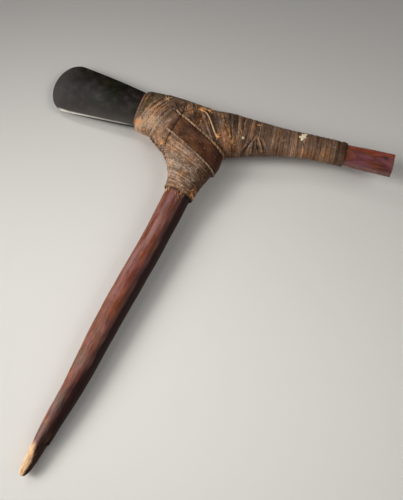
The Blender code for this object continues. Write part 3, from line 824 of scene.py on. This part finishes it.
def make_strips(name, strands, material, profile=STRIP_PROFILE):
    """All the strands as one piece of closed strips that keeps their length, tone and warmth."""
    sides = len(profile)
    corners, faces, fibres, tones, warms = [], [], [], [], []
    start = 0
    for one in strands:
        path, ways = one["path"], one["ways"]
        count = len(path)
        along = np.gradient(path, axis=0)
        along /= np.linalg.norm(along, axis=1)[:, None] + 1e-12
        side = np.cross(ways, along)
        side /= np.linalg.norm(side, axis=1)[:, None] + 1e-12
        up = np.cross(along, side)
        width, thick, tone, warm, seed = (
            np.broadcast_to(one[key], count) for key in ("width", "thick", "tone", "warmth", "seed")
        )
        ring = [path + side * width[:, None] * a + up * thick[:, None] * b for a, b in profile]
        ring = np.stack(ring, axis=1)
        lowest = FLOOR_GAP + SETTLE * abs(math.sin(seed[0]))
        ring[:, :, 2] += np.maximum(lowest - ring[:, :, 2].min(axis=1, keepdims=True), 0)
        corners.append(ring.reshape(-1, 3))
        length = lengths_of(path)
        fibre = [np.c_[length, a * width, seed * 0.013] for a, _ in profile]
        fibres.append(np.stack(fibre, axis=1).reshape(-1, 3))
        light, warmer = stained(path)
        streak = np.array([noise.noise(Vector((s * 45, seed[0] * 5.1, 2.0))) for s in length])
        tones.append(np.repeat(tone + light + STREAK * streak, sides))
        warms.append(np.repeat(warm + warmer, sides))
        base = start + sides * np.arange(count - 1)[:, None]
        k = np.arange(sides)[None]
        after = (k + 1) % sides
        quads = np.stack([base + k, base + after, base + sides + after, base + sides + k], axis=-1)
        faces += quads.reshape(-1, 4).tolist()
        faces.append([start + k for k in range(sides)][::-1])
        faces.append([start + (count - 1) * sides + k for k in range(sides)])
        start += count * sides
    mesh = bpy.data.meshes.new(name)
    mesh.from_pydata(np.concatenate(corners).tolist(), [], faces)
    piece = bpy.data.objects.new(name, mesh)
    scene.collection.objects.link(piece)
    painted(piece, "fibre", np.concatenate(fibres))
    painted(piece, "tone", np.clip(np.concatenate(tones), 0, 1))
    painted(piece, "warmth", np.clip(np.concatenate(warms), -1, 1))
    pick(piece)
    bpy.ops.object.mode_set(mode="EDIT")
    bpy.ops.mesh.select_all(action="SELECT")
    bpy.ops.mesh.normals_make_consistent(inside=False)
    bpy.ops.object.mode_set(mode="OBJECT")
    shaded(piece, 75)
    piece.data.materials.append(material)
    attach(piece, "root")
    return piece


def cane_finish(name, stops, rough=(0.50, 0.72), grit=0.35, mottle=1.0):
    made, tree, shader = new_finish(name)
    place = own_place(tree)
    warmth = carried(tree, "warmth")
    lines = clouds(tree, carried(tree, "fibre", "Vector"), (60, 4200, 90), detail=3, roughness=0.6)
    blotch = clouds(tree, place, 150, detail=5, roughness=0.65)
    fleck = clouds(tree, place, 420, detail=3, roughness=0.6)
    hue = clouds(tree, place, 95, roughness=0.6)
    dust = clouds(tree, place, 700, detail=3, roughness=0.7)
    value = sum_of(tree, carried(tree, "tone"), swung(tree, lines, -0.11, 0.11))
    value = sum_of(tree, value, swung(tree, blotch, -0.16 * mottle, 0.16 * mottle))
    value = sum_of(tree, value, swung(tree, fleck, -0.13 * mottle, 0.13 * mottle))
    colour = steps(tree, value, stops)
    grey = tinted(tree, 1.0, colour, (0.86, 1.0, 1.12))
    colour = tinted(tree, ranged(tree, warmth, 0.0, 0.8), colour, (1.26, 0.94, 0.60))
    colour = mixed(tree, ranged(tree, warmth, 0.0, -0.4), colour, grey)
    colour = tinted(tree, ranged(tree, hue, 0.50, 0.66, 0.0, 0.8), colour, (1.22, 0.96, 0.66))
    colour = tinted(tree, ranged(tree, hue, 0.48, 0.32, 0.0, 0.8), colour, (0.92, 0.96, 1.14))
    colour = mixed(tree, ranged(tree, dust, 0.55, 0.78, 0.0, grit), colour, (0.30, 0.235, 0.185))
    gloss = swung(tree, blotch, *rough)
    surfaced(tree, shader, colour, gloss, (lines, 0.00022), (dust, 0.00012), specular=0.30)
    return made


CANE_STOPS = (
    (0.05, (0.014, 0.005, 0.002)),
    (0.30, (0.066, 0.030, 0.015)),
    (0.50, (0.162, 0.086, 0.048)),
    (0.72, (0.350, 0.203, 0.124)),
    (0.95, (0.760, 0.490, 0.310)),
)
old_cane = cane_finish("old_split_cane", CANE_STOPS)
core = [haft, blade, bpy.data.objects["cheek_front"], bpy.data.objects["cheek_back"]]
bed_skin = outer_skin(bed, core)
neck_turns = wind(
    bed_skin, ((-16, -55), (21, -55)), ((-66, 20), (31, -8)), 54, 11,
    width=1.9, thick=0.8, lift=0.6, tone=0.58, narrow=0.35,
)
fork_turns = wind(
    bed_skin, ((-62, 70), (31, -12)), ((36, 79), (48, 26)), 27, 12,
    width=4.4, lift=0.3, tone=0.46, narrow=0.4, uneven=0.15,
)
socket_turns = wind(
    bed_skin, ((-67, 70), (-91, 3)), ((-8, 73), (-47, -9)), 35, 14,
    width=2.0, lift=1.05, tone=0.58, bow=-5, narrow=-0.3,
)
mouth_turns = wind(
    bed_skin, ((-97, 58), (-92, 5)), ((-50, 70), (-70, 0)), 21, 13,
    width=2.7, thick=1.0, lift=0.6,
)
ochre_cane = cane_finish(
    "ochre_mouth_cane",
    (
        (0.05, (0.010, 0.006, 0.003)),
        (0.30, (0.048, 0.032, 0.014)),
        (0.50, (0.130, 0.082, 0.036)),
        (0.72, (0.270, 0.170, 0.078)),
        (0.95, (0.640, 0.390, 0.190)),
    ),
)
lashing = [
    bed,
    make_strips("cane_over_the_neck", neck_turns, old_cane),
    make_strips("cane_over_the_fork", fork_turns, old_cane),
    make_strips("cane_round_the_socket", socket_turns, old_cane),
    make_strips("cane_round_the_mouth", mouth_turns, ochre_cane),
]

# Along the arm the same cane lies in close turns square to the limb, finer towards the end.
# The last turns are wider, flat and dark with resin, and stop the winding.
arm_cane = cane_finish("old_arm_cane", CANE_STOPS, mottle=0.5)
arm_turns = wind(
    bed_skin, ((34, 79), (47, 25)), ((110, 89), (120, 54)), 34, 21,
    width=2.5, lift=0.65, tone=0.53, narrow=0.15, uneven=0.10,
)
arm_turns += wind(
    bed_skin, ((109, 89), (119, 54)), ((155, 97), (163, 66)), 27, 22,
    width=2.0, lift=0.65, tone=0.53,
)
end_turns = wind(
    bed_skin, ((152, 96), (160, 65)), ((169, 99), (176, 70)), 5, 23,
    width=7.5, thick=0.5, lift=0.3, tone=0.42,
)
lashing.append(make_strips("cane_round_the_arm", arm_turns, arm_cane))
make_strips("dark_end_turns", end_turns, arm_cane)

# The strap is a flat band of dark inner bark that crosses the fork and goes round the armpit.
# It was pulled on damp, so it follows the turns below it, and its long fibres run with it.
STRAP_VOXEL = 0.0007
STRAP_LEAN = math.radians(-17.7)
CRUMPLE_DEPTH = 0.00035
BARK_DEPTH = 0.00022


def along_strap(places):
    """The same places measured along the strap, across it and up."""
    x, y, z = places.T
    ahead = x * math.cos(STRAP_LEAN) + y * math.sin(STRAP_LEAN)
    across = y * math.cos(STRAP_LEAN) - x * math.sin(STRAP_LEAN)
    return np.c_[ahead, across, z]


strap = taken_from("bark_strap", "dark_bark_strap")
remeshed(strap, STRAP_VOXEL)
places = points_of(strap)
weave = along_strap(places)
crumple = CRUMPLE_DEPTH * ripple(weave, (90, 420, 200), 1.0) + BARK_DEPTH * ripple(weave, 300, 6.0)
swell(strap, places, crumple, FLOOR_GAP)
painted(strap, "weave", weave)
bark, tree, shader = new_finish("dark_inner_bark")
along = carried(tree, "weave", "Vector")
lines = clouds(tree, along, (35, 1500, 400), roughness=0.65)
worn = clouds(tree, along, (70, 110, 110), detail=5, roughness=0.6)
value = sum_of(tree, swung(tree, lines, 0.0, 0.40), ranged(tree, worn, 0.34, 0.66, 0.0, 0.62))
colour = steps(
    tree, value, ((0.15, (0.032, 0.009, 0.003)), (0.5, (0.104, 0.036, 0.012)), (0.9, (0.210, 0.086, 0.033)))
)
place = part(tree, "SeparateXYZ", {0: own_place(tree)}).outputs["X"]
colour = tinted(tree, ranged(tree, place, -0.004, 0.022), colour, (0.55, 0.36, 0.30))
gloss = swung(tree, worn, 0.45, 0.65)
surfaced(tree, shader, colour, gloss, (lines, 0.0003), (worn, 0.0004), specular=0.25)
strap.data.materials.append(bark)
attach(strap, "root")
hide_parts("bark_strap")

# A raised cord of two twisted cane strips runs along each edge of the strap and holds it down.
# Handling has rubbed the cords paler than the turns beside them.
CORD_VOXEL = 0.00042
CORD_SINK = 0.00042
TWIST_STEP = 0.0052
TWIST_WIDTH = 0.009
TWIST_DEPTH = 0.00010
CORD_FUZZ = 0.00012

pale_cane = cane_finish(
    "rubbed_pale_cane",
    ((0.10, (0.040, 0.021, 0.011)), (0.45, (0.190, 0.112, 0.066)), (0.90, (0.620, 0.440, 0.280))),
)
for edge in ("upper", "lower"):
    cord = taken_from("strap_cord_" + edge, edge + "_edge_cord")
    remeshed(cord, CORD_VOXEL)
    places = points_of(cord)
    ahead, across, _ = along_strap(places).T
    twist = np.sin(2 * math.pi * (ahead / TWIST_STEP + (across - across.mean()) / TWIST_WIDTH))
    change = TWIST_DEPTH * twist + CORD_FUZZ * ripple(places, 500) - CORD_SINK
    swell(cord, places, change, FLOOR_GAP)
    painted(cord, "fibre", np.c_[ahead, across, places[:, 2]])
    tone = 0.53 + 0.16 * ripple(places, 60, 8.0) + 0.10 * twist + 0.26 * grade(ahead, -0.070, -0.100)
    painted(cord, "tone", tone)
    painted(cord, "warmth", np.full(len(places), 0.05))
    cord.data.materials.append(pale_cane)
    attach(cord, "root")
    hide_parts("strap_cord_" + edge)

# Single thin strips lie over the fork and the start of the arm, where the lashing was mended.
# Some are fresh and golden, some old and dark, and each is tucked under its neighbours at both ends.
GOLDEN_STRIPS = (
    # places, width, tone, warmth
    (((-24, 55), (-15, 55.5), (-6.5, 50), (2.3, 41), (10.8, 32.7), (16.6, 28)), 1.7, 0.92, 0.20),
    (((-25, 58), (-16, 60), (-8, 61)), 1.4, 0.74, 0.30),
    (((-18, 52), (-17.5, 42), (-17.6, 31)), 1.0, 0.50, 0.45),
    (((-22, 53), (-20.5, 44), (-21.5, 34)), 0.9, 0.44, 0.45),
    (((-14.5, 52), (-12.5, 43), (-12.8, 32)), 0.9, 0.50, 0.40),
    (((-11.7, 49), (-8, 42), (-4.6, 34)), 1.0, 0.58, 0.40),
    (((-18.3, 46), (-14, 40), (-9.4, 35)), 0.9, 0.46, 0.45),
    (((-8.2, 49), (-3, 43), (1.3, 36)), 1.1, 0.54, 0.40),
    (((3, 66), (8, 60), (18.4, 48.8), (28, 41.1), (33.7, 31)), 1.5, 0.66, 0.40),
    (((10, 66), (14, 59), (23.2, 47.9), (29, 38), (28.1, 31)), 1.2, 0.58, 0.40),
    (((14, 60), (15, 51), (21, 43)), 1.0, 0.52, 0.45),
    (((24, 33), (29, 28.5), (34, 27)), 1.3, 0.56, 0.30),
    (((33.5, 27), (35.5, 31), (36, 37)), 1.3, 0.56, 0.30),
    (((33, 60), (36.5, 54), (42.5, 46)), 1.2, 0.62, 0.20),
    (((37, 64), (42, 57), (49, 50)), 1.0, 0.54, 0.15),
    (((96, 78), (95, 70), (94, 61)), 1.5, 0.50, 0.20),
    (((83, 75), (88, 68), (93.5, 60)), 1.5, 0.54, 0.20),
)
OLD_STRIPS = (
    # places, width, tone, warmth
    (((-57, 52), (-49, 45), (-40.5, 38)), 1.9, 0.18, 0.30),
    (((-44, 60), (-42, 49), (-39.5, 37.5)), 1.7, 0.22, 0.40),
    (((-40.2, 37.5), (-41.3, 25), (-42.6, 11)), 2.0, 0.08, 0.10),
    (((-42, 10), (-42.4, 3), (-41, -7)), 1.7, 0.14, 0.35),
    (((-72, 45), (-78, 35), (-83.5, 23), (-83, 11), (-88, 3)), 1.5, 1.02, -0.35),
    (((60, 54), (58.5, 44), (55.5, 30)), 3.0, 0.66, 0.05),
    (((58, 50), (56, 40), (52.5, 29)), 2.2, 0.0, 0.10),
    (((61, 53), (66, 48), (76, 39)), 3.0, 0.66, 0.05),
    (((62, 50), (65, 44), (70, 37)), 1.9, 0.02, 0.10),
    (((59, 45), (60, 38), (63, 31)), 2.2, 0.60, -0.10),
    (((55, 46), (53, 38), (49, 29)), 2.2, 0.60, -0.05),
    (((66, 55), (72, 50), (84, 42)), 2.3, 0.62, -0.05),
    (((65, 51), (71, 46), (79, 39)), 1.6, 0.06, 0.10),
    (((114, 77), (117, 71), (122, 64)), 1.8, 0.66, 0.0),
    (((-60, 46), (-50, 40), (-41, 30)), 1.7, 0.40, 0.0),
    (((-47, 62), (-40, 50), (-31, 40)), 2.2, 0.48, 0.15),
    (((-57, 56), (-46, 47), (-36, 43)), 2.0, 0.44, 0.05),
    (((-38, 66), (-30, 54), (-24, 44)), 2.6, 0.30, -0.30),
)
CURVE_POINTS = 14
SINGLE_THICKNESS = 0.8
SINGLE_LIFT = 0.25
END_TUCK = 0.9
END_TAPER = 0.3
DROP_HEIGHT = 0.06
DOWN = Vector((0, 0, -1))

lashing += [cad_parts[name] for name in ("bark_strap", "strap_cord_upper", "strap_cord_lower", "haft")]


def laid(skin, plan, width, tone, warmth, seed):
    """A strip on a smooth line through the plan's places, dropped on what lies below, its ends tucked in."""
    plan = [Vector(place) for place in plan]
    plan = [plan[0] * 2 - plan[1], *plan, plan[-1] * 2 - plan[-2]]
    row = []
    for i in range(1, len(plan) - 2):
        before, here, there, after = plan[i - 1 : i + 3]
        for j in range(CURVE_POINTS):
            t = j / CURVE_POINTS
            row.append(
                here
                + (there - before) * 0.5 * t
                + (before * 2 - here * 5 + there * 4 - after) * 0.5 * t * t
                + (here * 3 - before - there * 3 + after) * 0.5 * t * t * t
            )
    row.append(plan[-2])
    touched = [touch(skin, on_plane(place.x, place.y, DROP_HEIGHT), DOWN) for place in row]
    points = relaxed([point for point, _ in touched if point is not None], 5)
    ways = relaxed([way for _, way in touched if way is not None], 12)
    points, ways = evenly(points, (ways,), STRIP_STEP * 0.6)
    share = np.linspace(0, 1, len(points))
    rise = SINGLE_LIFT - END_TUCK * (np.exp(-share / 0.05) + np.exp(-(1 - share) / 0.05))
    wide = width * (1 - END_TAPER * (np.exp(-share / 0.08) + np.exp(-(1 - share) / 0.08)))
    return strand(points, ways, wide / 1000, SINGLE_THICKNESS / 1000, rise / 1000, tone, warmth, seed)


golden_cane = cane_finish(
    "golden_mended_cane",
    ((0.10, (0.045, 0.020, 0.009)), (0.50, (0.250, 0.128, 0.055)), (0.90, (0.900, 0.620, 0.350))),
    rough=(0.40, 0.60),
    grit=0.15,
)
top_skin = skin_of(*lashing)
golden = [laid(top_skin, *strip, 40 + number) for number, strip in enumerate(GOLDEN_STRIPS)]
old = [laid(top_skin, *strip, 80 + number) for number, strip in enumerate(OLD_STRIPS)]
lashing.append(make_strips("single_golden_strips", golden, golden_cane))
lashing.append(make_strips("single_old_strips", old, old_cane))

# Broken fibres stand up in tufts where strips end, and short splinters lie all over the lashing.
# They are hair-thin slivers of the same cane, each rooted under a turn.
SLIVER_PROFILE = ((-0.5, -0.35), (0.0, 0.55), (0.5, -0.35))
SLIVER_POINTS = 7
SLIVER_BEND = 9
SLIVER_TAPER = 0.55
SLIVER_JUMP = 0.0025
TUFTS = (
    # x, y, reach, count, length, width, heading, fan, tone, warmth, rise
    (-46, -6, 2.6, 26, 5.0, 0.80, 150, 200, 1.0, 0.20, 1.6),
    (-58, -1, 7.0, 14, 4.0, 0.65, 160, 120, 0.86, 0.15, 0.7),
    (-41, 2, 2.5, 12, 5.0, 0.70, 200, 100, 0.60, 0.30, 1.2),
    (-69, 52, 2.2, 18, 4.0, 0.80, 60, 300, 0.96, 0.10, 1.2),
    (-22, 57, 2.5, 12, 6.5, 0.80, 10, 90, 0.92, 0.45, 1.2),
    (-12, 60, 3.0, 8, 5.0, 0.70, 10, 120, 0.84, 0.45, 0.8),
    (-17, 46, 4.5, 16, 11.0, 0.70, -85, 40, 0.56, 0.30, 0.2),
    (15, 30, 2.2, 14, 4.5, 0.90, 30, 300, 0.94, 0.30, 1.6),
    (5, 62, 2.0, 8, 4.5, 0.70, -60, 120, 0.80, 0.55, 1.0),
    (24, 44, 5.0, 14, 9.0, 0.75, -60, 60, 0.60, 0.30, 0.4),
    (36, 31, 4.5, 18, 8.0, 0.85, 85, 70, 0.62, 0.35, 0.6),
    (40, 50, 5.0, 9, 5.5, 0.70, -55, 70, 0.66, 0.30, 0.5),
    (45.7, 42.7, 0.7, 9, 2.0, 0.90, 90, 360, 0.98, -0.10, 0.8),
    (57, 69, 1.6, 10, 3.0, 0.80, 60, 320, 0.88, 0.30, 1.0),
    (20, -50.5, 2.6, 24, 5.0, 0.90, -20, 200, 0.84, 0.45, 1.6),
    (31, -8, 1.6, 8, 3.0, 1.00, 0, 360, 0.10, 0.10, 0.8),
    (-92, 44, 3.0, 10, 5.0, 0.70, -70, 60, 0.55, 0.50, 0.4),
    (-89, 6, 3.0, 12, 4.5, 0.90, 120, 80, 0.98, 0.25, 0.5),
    (-53, -9, 4.0, 16, 5.0, 0.75, 150, 180, 0.84, 0.20, 1.0),
    (-12, -57, 5.0, 12, 5.0, 0.70, -85, 60, 0.80, 0.10, 0.3),
    (6, -57, 6.0, 12, 5.0, 0.70, -85, 60, 0.76, 0.10, 0.3),
)
SPLINTERS = (
    # x, y, half width, half height, count, length, heading, fan, tone
    (-12, -18, 24, 13, 80, 3.0, -16, 70, 0.74),
    (0, -42, 15, 13, 44, 2.8, -4, 60, 0.74),
    (-30, -8, 10, 9, 36, 3.2, 60, 160, 0.86),
    (-70, 16, 15, 15, 110, 3.6, 112, 80, 0.86),
    (-60, 34, 14, 13, 36, 3.0, 80, 140, 0.62),
    (-86, 34, 6, 18, 26, 3.0, 110, 80, 0.62),
    (-20, 52, 20, 9, 22, 3.4, -60, 140, 0.66),
    (22, 46, 22, 15, 30, 3.4, -70, 90, 0.50),
    (66, 50, 20, 18, 34, 3.0, 108, 60, 0.52),
    (106, 68, 22, 14, 34, 2.6, 106, 40, 0.54),
    (142, 76, 14, 11, 16, 2.2, 104, 40, 0.54),
    (-14, 14, 22, 10, 22, 3.0, -18, 40, 0.40),
)


def sliver(skin, x, y, length, width, heading, tone, warmth, rise, chance):
    """One thin fibre along the skin from x, y, its free end curling and lifted by rise, in millimetres."""
    points, ways = [], []
    turn = chance.uniform(-SLIVER_BEND, SLIVER_BEND)
    step = length / (SLIVER_POINTS - 1)
    for _ in range(SLIVER_POINTS):
        point, way = touch(skin, on_plane(x, y, DROP_HEIGHT), DOWN)
        if point is None or (points and (point - points[-1]).length > SLIVER_JUMP + length / 3000):
            break
        points.append(point)
        ways.append(way)
        x += step * math.cos(math.radians(heading))
        y += step * math.sin(math.radians(heading))
        heading += turn
    if len(points) < 4:
        return None
    share = np.linspace(0, 1, len(points))
    lift = (0.10 + rise * share**2) / 1000
    taper = width / 1000 * (1 - SLIVER_TAPER * share)
    seed = chance.uniform(0, 90)
    return strand(relaxed(points, 1), relaxed(ways, 4), taper, width / 1400, lift, tone, warmth, seed)


lashing_skin = skin_of(*lashing)
chance = random.Random(7)
tufts = []
for x, y, reach, count, length, width, heading, fan, tone, warmth, rise in TUFTS:
    for _ in range(count):
        tufts.append(
            sliver(
                lashing_skin,
                x + chance.gauss(0, reach / 2),
                y + chance.gauss(0, reach / 2),
                length * chance.uniform(0.55, 1.25),
                width * chance.uniform(0.7, 1.2),
                heading + chance.uniform(-fan, fan) / 2,
                tone + chance.gauss(0, 0.10),
                warmth + chance.gauss(0, 0.15),
                rise * chance.uniform(0.2, 1.3),
                chance,
            )
        )
splinters = []
for x, y, half_width, half_height, count, length, heading, fan, tone in SPLINTERS:
    for _ in range(count):
        splinters.append(
            sliver(
                lashing_skin,
                x + chance.uniform(-half_width, half_width),
                y + chance.uniform(-half_height, half_height),
                length * chance.uniform(0.6, 1.4),
                chance.uniform(0.45, 0.8),
                heading + chance.uniform(-fan, fan) / 2,
                tone + chance.gauss(0, 0.14),
                chance.gauss(-0.1, 0.25),
                chance.uniform(0.0, 0.25),
                chance,
            )
        )
dusty_cane = cane_finish(
    "dusty_cane_splinter",
    ((0.10, (0.050, 0.027, 0.014)), (0.50, (0.260, 0.165, 0.100)), (0.90, (0.800, 0.620, 0.440))),
    grit=0.15,
)
for name, slivers, material in (
    ("broken_cane_fibres", tufts, golden_cane),
    ("dusty_cane_splinters", splinters, dusty_cane),
):
    make_strips(name, [one for one in slivers if one], material, SLIVER_PROFILE)

# Dabs of pale resin have dried on the lashing, the largest star-shaped on the arm's upper side.
# They were soft when they fell there, so they fill the gaps between the turns below.
DABS = (
    # name, x, y, reach, how round
    ("dried_resin_star", 113.5, 79.5, 7.0, 0.0),
    ("dried_resin_drop", 45.7, 42.7, 1.7, 1.0),
)
DAB_THICKNESS = 0.0003

resin, tree, shader = new_finish("dried_pale_resin")
crust = clouds(tree, own_place(tree), 420)
colour = steps(tree, crust, ((0.28, (0.80, 0.54, 0.22)), (0.42, (1.0, 0.86, 0.52)), (0.6, (1.0, 0.96, 0.76))))
surfaced(tree, shader, colour, swung(tree, crust, 0.35, 0.60), (crust, 0.0004))
for name, middle_x, middle_y, reach, roundness in DABS:
    deselect()
    bpy.ops.mesh.primitive_uv_sphere_add(segments=48, ring_count=24, radius=1, location=(0, 0, 0))
    dab = bpy.context.object
    dab.name = name
    places = points_of(dab)
    for number, (x, y, z) in enumerate(places.copy()):
        turn = math.atan2(y, x)
        arms = 0.64 + 0.20 * math.cos(5 * turn + 0.8) + 0.20 * math.cos(2 * turn - 2.6)
        arms += 0.06 * math.cos(11 * turn)
        flat = math.hypot(x, y) * (arms + (1 - arms) * roundness) * reach
        above = on_plane(middle_x + flat * math.cos(turn), middle_y + flat * math.sin(turn), DROP_HEIGHT)
        point, _ = touch(lashing_skin, above, DOWN)
        height = DAB_THICKNESS * (2 * z + 1) if z > 0 else -DAB_THICKNESS
        height += DAB_THICKNESS * noise.noise(Vector((x, y, z)) * 3)
        places[number] = point + Vector((0, 0, height))
    set_points(dab, places)
    worked(dab, "SMOOTH", factor=0.5, iterations=2)
    shaded(dab, 60)
    dab.data.materials.append(resin)
    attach(dab, "root")

size = {"cad": [list(v) for v in cad_box], "visual": [list(v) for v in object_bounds()]}
